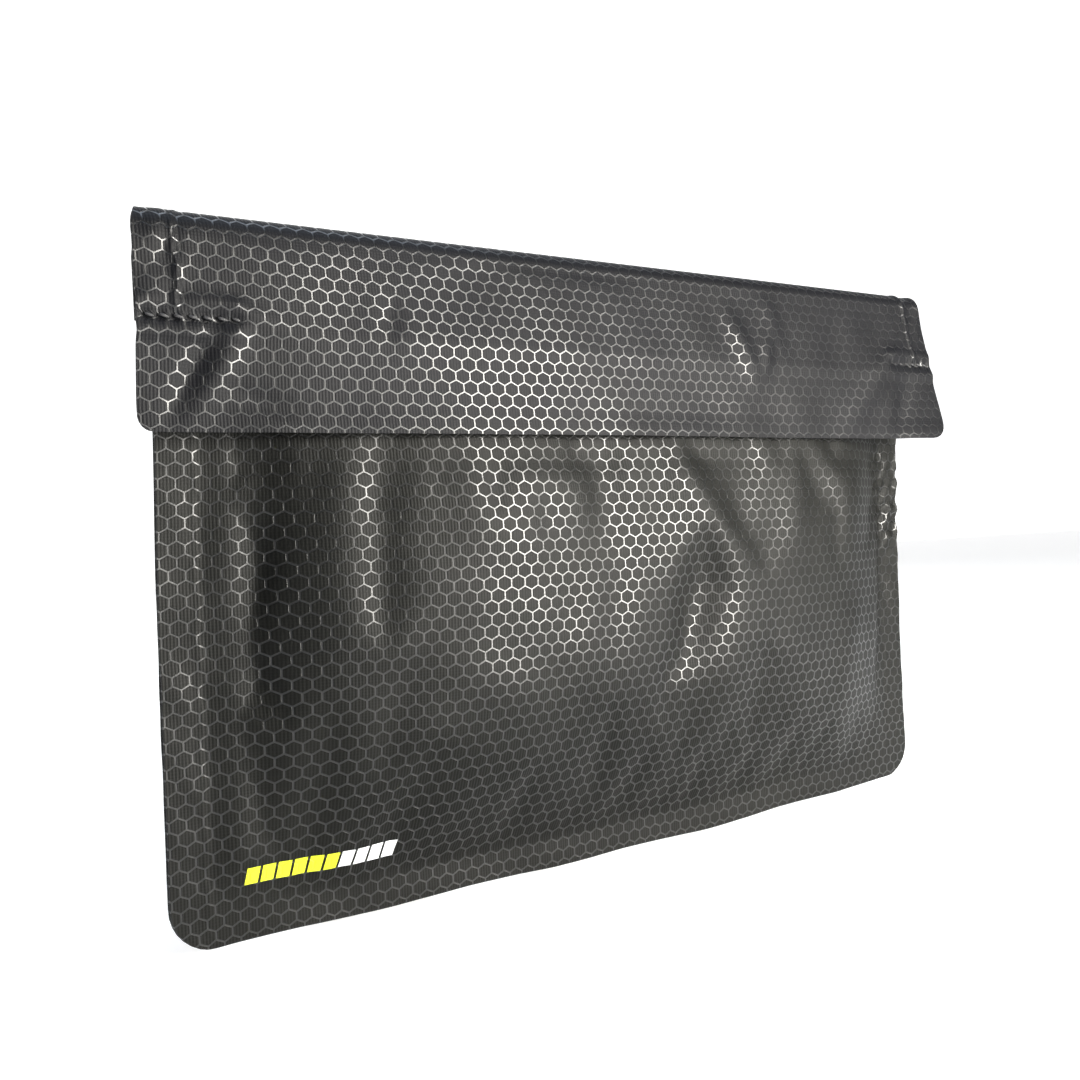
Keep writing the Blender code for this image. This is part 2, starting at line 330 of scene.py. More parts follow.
def crisp_edges():
    """Shades a sheet's cut edges sharp, so its faces stay smooth right up to them."""
    found = bpy.data.node_groups.get("crisp_edges")
    if found:
        return found
    group = bpy.data.node_groups.new("crisp_edges", "GeometryNodeTree")
    group.interface.new_socket("Geometry", in_out="INPUT", socket_type="NodeSocketGeometry")
    group.interface.new_socket("Geometry", in_out="OUTPUT", socket_type="NodeSocketGeometry")
    entry = group.nodes.new("NodeGroupInput")
    angle = group.nodes.new("GeometryNodeInputMeshEdgeAngle")
    steep = group.nodes.new("FunctionNodeCompare")
    steep.operation = "GREATER_THAN"
    steep.inputs[1].default_value = math.radians(60)
    smooth = group.nodes.new("GeometryNodeSetShadeSmooth")
    smooth.domain = "EDGE"
    smooth.inputs["Shade Smooth"].default_value = False
    leave = group.nodes.new("NodeGroupOutput")
    group.links.new(angle.outputs["Unsigned Angle"], steep.inputs[0])
    group.links.new(entry.outputs[0], smooth.inputs["Geometry"])
    group.links.new(steep.outputs[0], smooth.inputs["Selection"])
    group.links.new(smooth.outputs[0], leave.inputs[0])
    return group


def add_sheet(name, points, uv, thickness, materials, flip=False):
    thing = add_object(name, grid_mesh(name, points, uv, flip), *materials)
    return thicken(thing, thickness)


def normals(points):
    """Unit normals of a grid of points, towards the side that its face is on."""
    along_columns = np.gradient(points, axis=1)
    along_rows = np.gradient(points, axis=0)
    normal = np.cross(along_columns, along_rows)
    return normal / np.maximum(np.linalg.norm(normal, axis=-1, keepdims=True), 1e-12)


def flat_uv(x, v):
    return np.stack(np.broadcast_arrays(x, v), axis=-1)


# ---------------------------------------------------------------- settling

SIM_COLUMNS = 97
SIM_ROWS = 53
SIM_FRAMES = 26
SIM_LOW = 0.010
SIM_HIGH = 0.150


def settled(place, flip, slack, pressure, most):
    """How far each point of a coarse panel moves when its slack cloth settles under pressure."""
    x, z = np.meshgrid(
        np.linspace(-INNER_HALF, INNER_HALF, SIM_COLUMNS), np.linspace(SIM_LOW, SIM_HIGH, SIM_ROWS)
    )
    start = place(x, z)
    panel = add_object("settling", grid_mesh("settling", start, flat_uv(x, z), flip))
    edge = np.ones(x.shape, dtype=bool)
    edge[1:-2, 1:-1] = False
    group = panel.vertex_groups.new(name="weld")
    group.add(np.flatnonzero(edge).tolist(), 1.0, "REPLACE")
    cloth = panel.modifiers.new("settle", "CLOTH").settings
    cloth.quality = 6
    cloth.mass = 0.12
    cloth.tension_stiffness = 25.0
    cloth.compression_stiffness = 25.0
    cloth.shear_stiffness = 8.0
    cloth.bending_stiffness = 1.2
    cloth.vertex_group_mass = "weld"
    cloth.shrink_min = -slack
    cloth.shrink_max = -slack
    cloth.use_pressure = True
    cloth.uniform_pressure_force = pressure
    cloth.effector_weights.gravity = 0.0
    scene = bpy.context.scene
    for number in range(1, SIM_FRAMES + 1):
        scene.frame_set(number)
    shape = panel.evaluated_get(bpy.context.evaluated_depsgraph_get()).data
    found = np.zeros(len(shape.vertices) * 3)
    shape.vertices.foreach_get("co", found)
    scene.frame_set(1)
    bpy.data.objects.remove(panel, do_unlink=True)
    moved = found.reshape(start.shape) - start
    length = np.linalg.norm(moved, axis=-1, keepdims=True)
    moved *= np.minimum(1.0, most / np.maximum(length, 1e-9))
    inside = ease((INNER_HALF - np.abs(x)) / 0.012) * ease((SIM_HIGH - z) / 0.026)
    return moved * inside[..., None]


def spline_weights(places, low, high, count):
    """The cubic B-spline weights that read count even samples, from low to high, at the places."""
    place = np.clip((places - low) / (high - low), 0.0, 1.0) * (count - 1)
    first = np.clip(np.floor(place), 0, count - 2).astype(int)
    f = place - first
    weights = (
        (1 - f) ** 3 / 6,
        (3 * f**3 - 6 * f**2 + 4) / 6,
        (-3 * f**3 + 3 * f**2 + 3 * f + 1) / 6,
        f**3 / 6,
    )
    table = np.zeros((len(places), count))
    lines = np.arange(len(places))
    for step, weight in enumerate(weights):
        np.add.at(table, (lines, np.clip(first - 1 + step, 0, count - 1)), weight)
    return table


def between(moved, x, z):
    """The settled displacement at any points, read smoothly from the coarse panel."""
    flat_x = spline_weights(x.ravel(), -INNER_HALF, INNER_HALF, SIM_COLUMNS)
    flat_z = spline_weights(z.ravel(), SIM_LOW, SIM_HIGH, SIM_ROWS)
    result = np.stack(
        [np.einsum("nr,nr->n", flat_z @ moved[..., k], flat_x) for k in range(3)], axis=-1
    )
    return result.reshape(*x.shape, 3)


front_moved = settled(front_place, False, 0.005, 2.0, 0.0035)
back_moved = settled(back_place, True, 0.004, 1.0, 0.0020)


def front_surface(x, z):
    """The front cloth's finished outer face at flat places x, z."""
    points = front_place(x, z) + between(front_moved, x, z)
    crumple = 0.0009 * ripple(x, z, 0.0065, 5)
    crumple = crumple * ease((x - 0.126) / 0.010) * np.exp(-(((z - 0.104) / 0.017) ** 2))
    fine = 0.00018 * ripple(x, z, 0.022, 21) * ease((0.130 - z) / 0.02)
    depth = kept_open(-points[..., 1] - WELD_FACE, x, z, 0.0019)
    points[..., 1] = -WELD_FACE - depth - weld_relief(x, z) - crumple - fine - margin_lean(x, z)
    return points


def back_surface(x, z):
    points = back_place(x, z) + between(back_moved, x, z)
    depth = kept_open(points[..., 1] - WELD_FACE, x, z, 0.0012)
    depth = depth + weld_relief(x, z) + 0.00022 * ripple(x, z, 0.026, 22)
    points[..., 1] = WELD_FACE + depth - margin_lean(x, z)
    return points


# ---------------------------------------------------------------- nodes


class Nodes:
    """A few short ways to add shader nodes to one material."""

    def __init__(self, name):
        self.material = bpy.data.materials.new(name)
        self.material.use_nodes = True
        self.tree = self.material.node_tree
        self.shader = self.tree.nodes["Principled BSDF"]

    def add(self, kind, **settings):
        node = self.tree.nodes.new(kind)
        for key, value in settings.items():
            setattr(node, key, value)
        return node

    def plug(self, socket, value):
        if isinstance(value, bpy.types.NodeSocket):
            self.tree.links.new(value, socket)
        else:
            socket.default_value = value

    def math(self, operation, *values):
        node = self.add("ShaderNodeMath", operation=operation)
        for socket, value in zip(node.inputs, values):
            self.plug(socket, value)
        return node.outputs[0]

    def ramp(self, value, low, high, to_low=0.0, to_high=1.0):
        """Smoothly maps value from low..high to to_low..to_high."""
        node = self.add("ShaderNodeMapRange", interpolation_type="SMOOTHSTEP")
        for socket, given in zip(node.inputs, (value, low, high, to_low, to_high)):
            self.plug(socket, given)
        return node.outputs[0]

    def mix(self, share, first, second):
        node = self.add("ShaderNodeMix", data_type="RGBA")
        self.plug(node.inputs["Factor"], share)
        self.plug(node.inputs[6], first)
        self.plug(node.inputs[7], second)
        return node.outputs[2]

    def noise(self, place, scale, detail=3.0, roughness=0.5):
        node = self.add("ShaderNodeTexNoise")
        self.plug(node.inputs["Vector"], place)
        node.inputs["Scale"].default_value = scale
        node.inputs["Detail"].default_value = detail
        node.inputs["Roughness"].default_value = roughness
        return node.outputs["Fac"]

    def flat(self):
        """The place in the cut cloth: the vector, and its two parts in metres."""
        node = self.add("ShaderNodeUVMap", uv_map="flat")
        split = self.add("ShaderNodeSeparateXYZ")
        self.plug(split.inputs[0], node.outputs[0])
        return node.outputs[0], split.outputs[0], split.outputs[1]

    def place(self):
        return self.add("ShaderNodeTexCoord").outputs["Object"]

    def wave(self, value, pitch):
        """0 to 1 and back once in each pitch."""
        turned = self.math("SINE", self.math("MULTIPLY", value, math.tau / pitch))
        return self.math("MULTIPLY_ADD", turned, 0.5, 0.5)

    def bump(self, height, depth, strength=1.0, below=None):
        node = self.add("ShaderNodeBump")
        node.inputs["Strength"].default_value = strength
        node.inputs["Distance"].default_value = depth
        self.plug(node.inputs["Height"], height)
        if below is not None:
            self.plug(node.inputs["Normal"], below)
        return node.outputs[0]

    def finish(self, colour, roughness, normal, specular=0.5):
        self.plug(self.shader.inputs["Base Color"], colour)
        self.plug(self.shader.inputs["Roughness"], roughness)
        self.plug(self.shader.inputs["Normal"], normal)
        self.shader.inputs["Specular IOR Level"].default_value = specular
        return self.material


def hex_distance(nodes, u, v, shift):
    """The honeycomb's own distance from the nearest centre of one of its two lattices."""
    share_u = nodes.math("FRACT", nodes.math("MULTIPLY_ADD", u, 1.0 / HEX_WIDTH, shift))
    share_v = nodes.math("FRACT", nodes.math("MULTIPLY_ADD", v, 0.5 / HEX_ROW, shift))
    side = nodes.math("ABSOLUTE", nodes.math("SUBTRACT", share_u, 0.5))
    up = nodes.math("ABSOLUTE", nodes.math("SUBTRACT", share_v, 0.5))
    slant = nodes.math("ADD", nodes.math("MULTIPLY", side, 0.5), nodes.math("MULTIPLY", up, 1.5))
    return nodes.math("MAXIMUM", side, slant)


def honeycomb(nodes, u, v):
    """1 on the honeycomb's lines and 0 inside its cells."""
    first = hex_distance(nodes, u, v, 10.0)
    second = hex_distance(nodes, u, v, 10.5)
    return nodes.ramp(nodes.math("MINIMUM", first, second), 0.424, 0.458)


def cloth_material(name, cell, line, cell_painted_sky, line_painted_sky):
    """Coated ripstop: rough ribbed cells between smooth, slightly sunken honeycomb lines, with a
    painted bluish sky reflection on the fold, neck and flap, darker and bluer than the pouch below.
    """
    nodes = Nodes(name)
    _, u, v = nodes.flat()
    place = nodes.place()
    lines = honeycomb(nodes, u, v)
    # From the fold up, over the neck and flap, the cells and lines take darker, bluer colours: a
    # painted reflection of the sky, not a colour of the cloth.
    painted_sky_share = nodes.ramp(v, 0.172, 0.186)
    cells_colour = nodes.mix(painted_sky_share, (*cell, 1.0), (*cell_painted_sky, 1.0))
    lines_colour = nodes.mix(painted_sky_share, (*line, 1.0), (*line_painted_sky, 1.0))
    colour = nodes.mix(lines, cells_colour, lines_colour)
    broad = nodes.noise(place, 22.0, 4.0)
    scuff = nodes.ramp(nodes.noise(place, 95.0, 6.0, 0.65), 0.60, 0.80, 0.0, 0.5)
    worn = nodes.mix(scuff, colour, (0.007, 0.007, 0.0065, 1.0))
    shade = nodes.ramp(broad, 0.25, 0.75, 0.75, 1.25)
    shaded = nodes.add("ShaderNodeVectorMath", operation="SCALE")
    nodes.plug(shaded.inputs[0], worn)
    nodes.plug(shaded.inputs["Scale"], shade)
    ribs = nodes.wave(u, HEX_WIDTH / 5.0)
    weft = nodes.wave(v, HEX_ROW / 4.0)
    grain = nodes.noise(place, 2600.0, 2.0)
    cells = nodes.math("SUBTRACT", 1.0, lines)
    weave = nodes.math("MULTIPLY_ADD", weft, 0.35, ribs)
    weave = nodes.math("MULTIPLY", weave, cells)
    rough = nodes.math("MULTIPLY_ADD", cells, 0.22, 0.27)
    rough = nodes.math("MULTIPLY_ADD", broad, 0.08, rough)
    rough = nodes.math("MULTIPLY_ADD", scuff, 0.08, rough)
    normal = nodes.bump(cells, 0.00008)
    normal = nodes.bump(weave, 0.00004, 1.0, normal)
    normal = nodes.bump(grain, 0.00003, 0.6, normal)
    nodes.plug(nodes.shader.inputs["Specular IOR Level"], nodes.ramp(lines, 0.0, 1.0, 0.14, 0.55))
    return nodes.finish(shaded.outputs[0], rough, normal, 0.14)


def inside_material():
    """The cloth's uncoated back: a plain fine weave."""
    nodes = Nodes("cloth_inside")
    _, u, v = nodes.flat()
    weave = nodes.math("MULTIPLY", nodes.wave(u, 0.0009), nodes.wave(v, 0.0009))
    colour = nodes.mix(weave, (0.010, 0.010, 0.011, 1.0), (0.032, 0.032, 0.033, 1.0))
    rough = nodes.ramp(weave, 0.0, 1.0, 0.75, 0.6)
    normal = nodes.bump(weave, 0.0001)
    return nodes.finish(colour, rough, normal, 0.3)


def lining_material():
    """Woven fibreglass: pale, a little glossy along its yarns."""
    nodes = Nodes("fibreglass_lining")
    _, u, v = nodes.flat()
    warp = nodes.wave(u, 0.0016)
    weft = nodes.wave(v, 0.0016)
    weave = nodes.math("MULTIPLY", warp, weft)
    fray = nodes.noise(nodes.place(), 400.0, 4.0)
    share = nodes.math("MULTIPLY_ADD", fray, 0.3, weave)
    colour = nodes.mix(share, (0.30, 0.29, 0.26, 1.0), (0.62, 0.61, 0.57, 1.0))
    rough = nodes.ramp(fray, 0.2, 0.8, 0.45, 0.7)
    normal = nodes.bump(share, 0.00015)
    return nodes.finish(colour, rough, normal, 0.5)


def tape_material(name, scale, colour):
    """Woven tape under hooks or loops."""
    nodes = Nodes(name)
    fuzz = nodes.noise(nodes.place(), scale, 5.0, 0.7)
    low = tuple(part * 0.5 for part in colour)
    tint = nodes.mix(nodes.ramp(fuzz, 0.3, 0.7), (*low, 1.0), (*colour, 1.0))
    normal = nodes.bump(fuzz, 0.0004, 0.8)
    made = nodes.finish(tint, nodes.ramp(fuzz, 0.2, 0.8, 0.7, 0.95), normal, 0.2)
    nodes.shader.inputs["Sheen Weight"].default_value = 0.4
    nodes.shader.inputs["Sheen Roughness"].default_value = 0.5
    return made


def ink_material(name, colour):
    """Flexible ink on the cloth, which shows the honeycomb through it and is lightly worn."""
    nodes = Nodes(name)
    _, u, v = nodes.flat()
    lines = honeycomb(nodes, u, v)
    wear = nodes.ramp(nodes.noise(nodes.place(), 900.0, 4.0), 0.30, 0.75, 0.0, 0.18)
    dark = tuple(part * 0.25 for part in colour)
    share = nodes.math("MULTIPLY_ADD", lines, 0.12, wear)
    tint = nodes.mix(share, (*colour, 1.0), (*dark, 1.0))
    normal = nodes.bump(nodes.math("SUBTRACT", 1.0, lines), 0.00008)
    return nodes.finish(tint, nodes.ramp(wear, 0.0, 0.18, 0.4, 0.6), normal, 0.4)


def thread_material():
    nodes = Nodes("tack_thread")
    twist = nodes.noise(nodes.place(), 3000.0, 2.0)
    colour = nodes.mix(twist, (0.004, 0.004, 0.005, 1.0), (0.020, 0.020, 0.022, 1.0))
    return nodes.finish(colour, nodes.ramp(twist, 0.2, 0.8, 0.4, 0.6), nodes.bump(twist, 0.0001))


def floor_material(name, glow):
    nodes = Nodes(name)
    grain = nodes.noise(nodes.place(), 40.0, 4.0)
    colour = nodes.mix(grain, (0.88, 0.88, 0.88, 1.0), (0.92, 0.92, 0.92, 1.0))
    normal = nodes.bump(grain, 0.0002, 0.2)
    nodes.shader.inputs["Emission Color"].default_value = (1.0, 1.0, 1.0, 1.0)
    nodes.shader.inputs["Emission Strength"].default_value = glow
    return nodes.finish(colour, nodes.ramp(grain, 0.2, 0.8, 0.85, 0.95), normal, 0.1)


# The last two colours are the cells and lines with a painted bluish sky reflection, used from the fold
# up over the neck and flap.
OUTER = cloth_material(
    "coated_honeycomb_cloth",
    (0.0031, 0.0032, 0.0024),
    (0.0017, 0.0018, 0.0015),
    (0.0018, 0.0019, 0.0031),
    (0.0011, 0.0012, 0.0018),
)
INSIDE = inside_material()
LINED = lining_material()
HOOKS = tape_material("hook_tape", 2200.0, (0.020, 0.020, 0.021))
LOOPS = tape_material("loop_tape", 1400.0, (0.030, 0.030, 0.031))
LIME = ink_material("lime_ink", (0.62, 0.70, 0.015))
WHITE = ink_material("white_ink", (0.78, 0.80, 0.80))
THREAD = thread_material()


# ---------------------------------------------------------------- pouch


def panel_columns():
    """Columns across a panel, closer together towards and over the fused seams."""
    left = (-HALF_WIDTH, 10, -0.1425, 10, -0.1375, 18, -0.112)
    right = (0.112, 18, 0.1375, 10, 0.1425, 10, HALF_WIDTH)
    return spread(*left, 150, *right)


def corner_rows():
    """Rows up a round bottom corner, evenly spaced round its arc."""
    steps = 8
    return [CORNER_RADIUS * (1.0 - math.cos(math.pi / 2 * n / steps)) for n in range(steps)]


def add_front():
    rows = np.concatenate([corner_rows(), spread(CORNER_RADIUS, 84, 0.130, 16, AXIS_Z)])
    share_x, z = np.meshgrid(panel_columns() / HALF_WIDTH, rows)
    x = share_x * outline_half(z)
    top = np.where(np.abs(x) > 0.1385, BAND_TOP, AXIS_Z)
    z = np.where(z > 0.145, 0.145 + (z - 0.145) * (top - 0.145) / (AXIS_Z - 0.145), z)
    points = front_surface(x, z)
    front = add_sheet("front_cloth", points, flat_uv(x, z), CLOTH, (OUTER, INSIDE))
    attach(front, "pouch")
    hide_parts("front_panel", "side_weld_left", "side_weld_right", "bottom_weld")


def add_lining(name, surface, inset, node, flip):
    x, z = np.meshgrid(spread(-0.126, 100, 0.126), spread(0.030, 52, 0.160))
    outer = surface(x, z)
    facing = normals(outer)
    inward = np.where(facing[..., 1:2] * outer[..., 1:2] > 0, -facing, facing)
    points = outer + inward * inset
    lining = add_sheet(name, points, flat_uv(x, z), LINING, (LINED,), flip)
    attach(lining, "pouch")
    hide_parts(node)


def back_path(x, s):
    """The back cloth at a distance s up it: up the back, over the fold and down the neck."""
    arc = FOLD_RADIUS * FOLD_TURN
    turn = np.clip((s - AXIS_Z) / arc, 0.0, 1.0) * FOLD_TURN
    radius = FOLD_RADIUS + FOLD_PEAK * np.sin(turn) ** 2
    up = back_surface(x, np.minimum(s, AXIS_Z))
    over_y = AXIS_Y + radius * np.cos(turn)
    over_z = AXIS_Z + radius * np.sin(turn)
    over = np.stack(np.broadcast_arrays(x, over_y, over_z), axis=-1)
    along = s - AXIS_Z - arc
    down = layer_place(x, np.maximum(along, 0.0), FOLD_RADIUS)
    points = np.where((s <= AXIS_Z)[..., None], up, np.where((along < 0)[..., None], over, down))
    return points, along


FOLDED_CREASES = (
    (48, 17, 70, 9, 4, 0.9),
    (60, 21, 110, 7, 3, 0.9),
    (66, 12, 80, 10, 4, 0.6),
    (52, 27, 80, 6, 4, 0.5),
    (-20, 24, 75, 26, 20, 0.6),
    (-84, 19, 100, 7, 3, -0.5),
    (-122, 20, 20, 10, 2.5, 0.6),
    (126, 20, 150, 9, 3, 0.8),
    (100, 8, 120, 16, 6, -0.4),
    (-136, 34, 118, 12, 2.6, -0.9),
    (-129, 33, 118, 11, 3, 0.7),
    (-118, 42, 20, 10, 3, -0.6),
    (112, 33, 140, 22, 5, 0.8),
    (128, 40, 120, 14, 4, -0.8),
)
DASH = 0.0036


def folded_relief(x, down):
    """The relief of the folded cloth's outer face, at a distance down from the fold.

    It has small bumps, the mouth's crimps at its ends, the fused seam lines down to the mouth,
    and below it the flap's slack lower edge, which stands off at the right.
    """
    small = 0.00020 * ripple(x, down, 0.030, 31) + creases(x, down, FOLDED_CREASES)
    ends = ease((np.abs(x) - 0.122) / 0.004)
    dashes = 0.55 + 0.45 * np.cos(math.tau * np.abs(x) / DASH)
    crimp = -0.00085 * dashes * np.exp(-(((down - NECK_LENGTH + 0.0012) / 0.0012) ** 2))
    swell = 0.00045 * np.exp(-(((down - NECK_LENGTH + 0.0048) / 0.0018) ** 2))
    swell = swell + 0.00045 * np.exp(-(((down - NECK_LENGTH - 0.0026) / 0.0017) ** 2))
    seam = 3.2 * weld_relief(x, down) * ease((NECK_LENGTH - down) / 0.003)
    flap = down - NECK_LENGTH
    hem = 0.0006 * ease((flap - 0.018) / 0.008) * (1.0 + 0.6 * np.sin(x * 47.0 + 1.0))
    splay = 0.0030 * ease((x - 0.100) / 0.050) * ease(flap / FLAP_LENGTH)
    total = small + ends * (crimp + swell) + hem + splay
    return total * ease(down / 0.004) + seam


def add_back():
    arc = FOLD_RADIUS * FOLD_TURN
    end = AXIS_Z + arc + NECK_LENGTH
    rows = np.concatenate(
        [corner_rows(), spread(CORNER_RADIUS, 80, AXIS_Z, 20, AXIS_Z + arc, 30, end)]
    )
    share_x, s = np.meshgrid(panel_columns() / HALF_WIDTH, rows)
    x = share_x * outline_half(s)
    points, along = back_path(x, s)
    over = ease((s - AXIS_Z) / arc)
    outward = -normals(points)
    relief = np.where(s > AXIS_Z, over * folded_relief(x, np.maximum(along, 0.0)), 0.0)
    points = points + outward * relief[..., None]
    # Below the fold the blend sees the cloth no further forward than the fold, so it stays put.
    plain = points.copy()
    upright = np.maximum(plain[..., 1], AXIS_Y + FOLD_RADIUS)
    plain[..., 1] = np.where(s > AXIS_Z, plain[..., 1], upright)
    back = add_sheet("back_cloth", plain, flat_uv(x, s), CLOTH, (OUTER, INSIDE), True)
    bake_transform(back)
    folded = np.where((s > AXIS_Z - 0.0001)[..., None], twisted(points), points)
    reshape(back, folded, flat_uv(x, s))
    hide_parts("back_panel", "top_fold", "neck_panel")


def add_fold_bands():
    """The front layer of the fused border, which follows the back cloth over the fold."""
    arc = BAND_RADIUS * FOLD_TURN
    rise = AXIS_Z - BAND_TOP
    length = rise + arc + NECK_LENGTH
    s = spread(0.0, 10, rise, 18, rise + arc, 18, length)
    for side, sign in (("left", -1), ("right", 1)):
        columns = spread(0.1392, 8, HALF_WIDTH - 0.0001)
        if sign < 0:
            columns = -columns[::-1]
        x, along = np.meshgrid(sign * np.abs(columns), s)
        turn = np.clip((along - rise) / arc, 0.0, 1.0) * FOLD_TURN
        radius = BAND_RADIUS + 0.5 * FOLD_PEAK * np.sin(turn) ** 2
        y = AXIS_Y + radius * np.cos(turn)
        z = np.where(along < rise, BAND_TOP + along, AXIS_Z + radius * np.sin(turn))
        low = np.stack(np.broadcast_arrays(x, y - 0.00005, z), axis=-1)
        down = layer_place(x, np.maximum(along - rise - arc, 0.0), BAND_RADIUS)
        points = np.where((along > rise + arc)[..., None], down, low)
        uv = flat_uv(x, BAND_TOP + along)
        band = add_sheet(f"fold_band_{side}", points, uv, CLOTH, (OUTER, INSIDE))
        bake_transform(band)
        reshape(band, twisted(points), uv)
        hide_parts(f"neck_weld_{side}")


# ---------------------------------------------------------------- neck, lip and flap


def lip_offset(x, inner):
    """The lip lies by the fold's plane in the middle and joins the neck's border at its ends."""
    return inner + (BAND_RADIUS - inner) * ease((np.abs(x) - 0.126) / 0.0135)


def half_columns(sign, half):
    columns = spread(0.0, 60, half - 0.016, 20, half)
    return columns if sign > 0 else -columns[::-1]


def add_lip():
    """The neck's front layer in two halves, which gapes in the middle and stays at its ends."""
    layers = (
        ("lip_cloth", 0.1397, (0.0, NECK_LENGTH), 0.0003, CLOTH, (OUTER, INSIDE), "outer_cloth"),
        ("lip_lining", 0.124, (0.004, NECK_LENGTH - 0.001), 0.0012, LINING, (LINED,), "lining"),
        ("mouth_loops", 0.122, (0.008, 0.021), 0.0019, STRIP, (LOOPS,), "loop_tape"),
    )
    nodes = {"lip_cloth": "lip_panel", "lip_lining": "lip_liner", "mouth_loops": "mouth_loop_strip"}
    for name, half, (low, high), offset, thickness, materials, slot in layers:
        for side, sign in (("left", -1), ("right", 1)):
            x, along = np.meshgrid(half_columns(sign, half), spread(low, 22, high))
            placed = lip_offset(x, offset) if name == "lip_cloth" else np.full(x.shape, offset)
            wave = 0.00015 * ripple(x, along, 0.03, 41)
            if name == "mouth_loops":
                wave = wave + 0.00018 * ripple(x, along, 0.0021, 43, 16)
                placed = placed + wave + thickness
            else:
                placed = placed + wave * 0.5
            points = layer_place(x, along, placed)
            flip = name != "lip_cloth"
            if name == "lip_lining":
                points = layer_place(x, along, placed + thickness)
            piece = add_sheet(
                f"{name}_{side}", points, flat_uv(x, AXIS_Z + along), thickness, materials, flip
            )
            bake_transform(piece)
            reshape(piece, twisted(points), flat_uv(x, AXIS_Z + along))
            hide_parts(nodes[name])


def add_neck_layers():
    x, along = np.meshgrid(spread(-0.124, 120, 0.124), spread(0.003, 20, 0.022))
    placed = 0.0041 + 0.00008 * ripple(x, along, 0.03, 51)
    points = twisted(layer_place(x, along, placed))
    lining = add_sheet("neck_lining", points, flat_uv(x, AXIS_Z + along), LINING, (LINED,))
    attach(lining, "neck")
    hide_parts("neck_liner")

    x, along = np.meshgrid(spread(-0.122, 160, 0.122), spread(0.008, 10, 0.021))
    points = twisted(layer_place(x, along, np.full(x.shape, 0.0036)))
    tape = add_sheet("mouth_hooks", points, flat_uv(x, along), 0.0002, (HOOKS,))
    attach(tape, "neck")
    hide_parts("mouth_hook_strip")
    add_hooks("mouth_hook_pile", points, normals(points), "neck")


def reshape(thing, points, uv):
    """Moves a sheet's points after its blend is set, for the blend goes by the plain fold's place."""
    set_uv(thing.data, along_cloth(points, uv))
    thing.data.vertices.foreach_set("co", points.astype(np.float32).ravel())
    thing.data.update()


def add_hooks(name, points, facing, body):
    """Rows of little bent hooks standing on a tape."""
    corners = []
    faces = []
    dice = np.random.default_rng(61)
    rows, columns = points.shape[:2]
    for row in range(1, rows - 1):
        for column in range(1 + row % 2, columns - 1, 2):
            base = points[row, column]
            out = facing[row, column]
            side = np.array([dice.choice((-1.0, 1.0)), 0.0, 0.0])
            cross = np.cross(out, side)
            first = len(corners)
            stations = ((0.0, 0.0, 0.16), (0.0, 0.34, 0.13), (0.10, 0.52, 0.10), (0.28, 0.42, 0.06))
            for lean, rise, wide in stations:
                centre = base + (side * lean + out * rise) * MM
                for a, b in ((-1, -1), (1, -1), (1, 1), (-1, 1)):
                    corners.append(centre + (side * a + cross * b) * wide * MM)
            for ring in range(3):
                for n in range(4):
                    low = first + ring * 4
                    following = (n + 1) % 4
                    faces.append((low + n, low + following, low + 4 + following, low + 4 + n))
            faces.append((first + 3, first + 2, first + 1, first))
            faces.append((first + 12, first + 13, first + 14, first + 15))
    mesh = bpy.data.meshes.new(name)
    mesh.from_pydata([tuple(c) for c in corners], [], faces)
    mesh.validate()
    pile = add_object(name, mesh, HOOKS)
    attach(pile, body)


def flap_place(x, down, offset=0.0):
    """The flap's outer face at a distance down from the mouth."""
    hinge = layer_place(x, np.full(np.shape(down), NECK_LENGTH), FOLD_RADIUS)
    lean = SLOPE - FLAP_TILT * ease(down / 0.006)
    y = hinge[..., 1] - down * np.sin(lean) - offset * np.cos(lean)
    z = hinge[..., 2] - down * np.cos(lean) + offset * np.sin(lean)
    return np.stack(np.broadcast_arrays(x, y, z), axis=-1)


def flap_half(down, radius):
    """Half the flap's width at a distance down it, which narrows round a lower corner."""
    low = np.clip(down - (FLAP_LENGTH - radius), 0.0, radius)
    return HALF_WIDTH - radius + np.sqrt(radius**2 - low**2)


def add_flap():
    steps = 8
    low = FLAP_LENGTH - FLAP_CORNER
    arc = [low + FLAP_CORNER * math.sin(math.pi / 2 * n / steps) for n in range(1, steps + 1)]
    rows = np.concatenate([spread(0.0, 8, 0.004, 24, low), arc])
    share_x, down = np.meshgrid(panel_columns() / HALF_WIDTH, rows)
    half = np.where(share_x < 0.0, flap_half(down, FLAP_LEFT_CORNER), flap_half(down, FLAP_CORNER))
    x = share_x * half
    plain = flap_place(x, down)
    points = plain - normals(plain) * folded_relief(x, NECK_LENGTH + down)[..., None]
    start_v = AXIS_Z + FOLD_RADIUS * FOLD_TURN + NECK_LENGTH
    flap = add_sheet("flap_cloth", points, flat_uv(x, start_v + down), CLOTH, (OUTER, INSIDE), True)
    start = Vector((0.0, *layer_place(0.0, NECK_LENGTH, FOLD_RADIUS)[1:]))
    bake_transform(flap)
    reshape(flap, twisted(points), flat_uv(x, start_v + down))
    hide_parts("flap_panel")

    x, down = np.meshgrid(spread(-LOOP_REACH, 150, LOOP_REACH), spread(0.0066, 14, 0.0251))
    inner = flap_place(x, down)
    away = normals(inner)
    relief = folded_relief(x, NECK_LENGTH + down)
    skin = inner + away * (CLOTH + 0.00028 - relief)[..., None]
    points = twisted(skin + away * 0.0002)
    tape = add_sheet("flap_hooks", points, flat_uv(x, down), 0.0002, (HOOKS,))
    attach(tape, "flap")
    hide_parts("flap_hook_strip")
    add_hooks("flap_hook_pile", points, away, "flap")


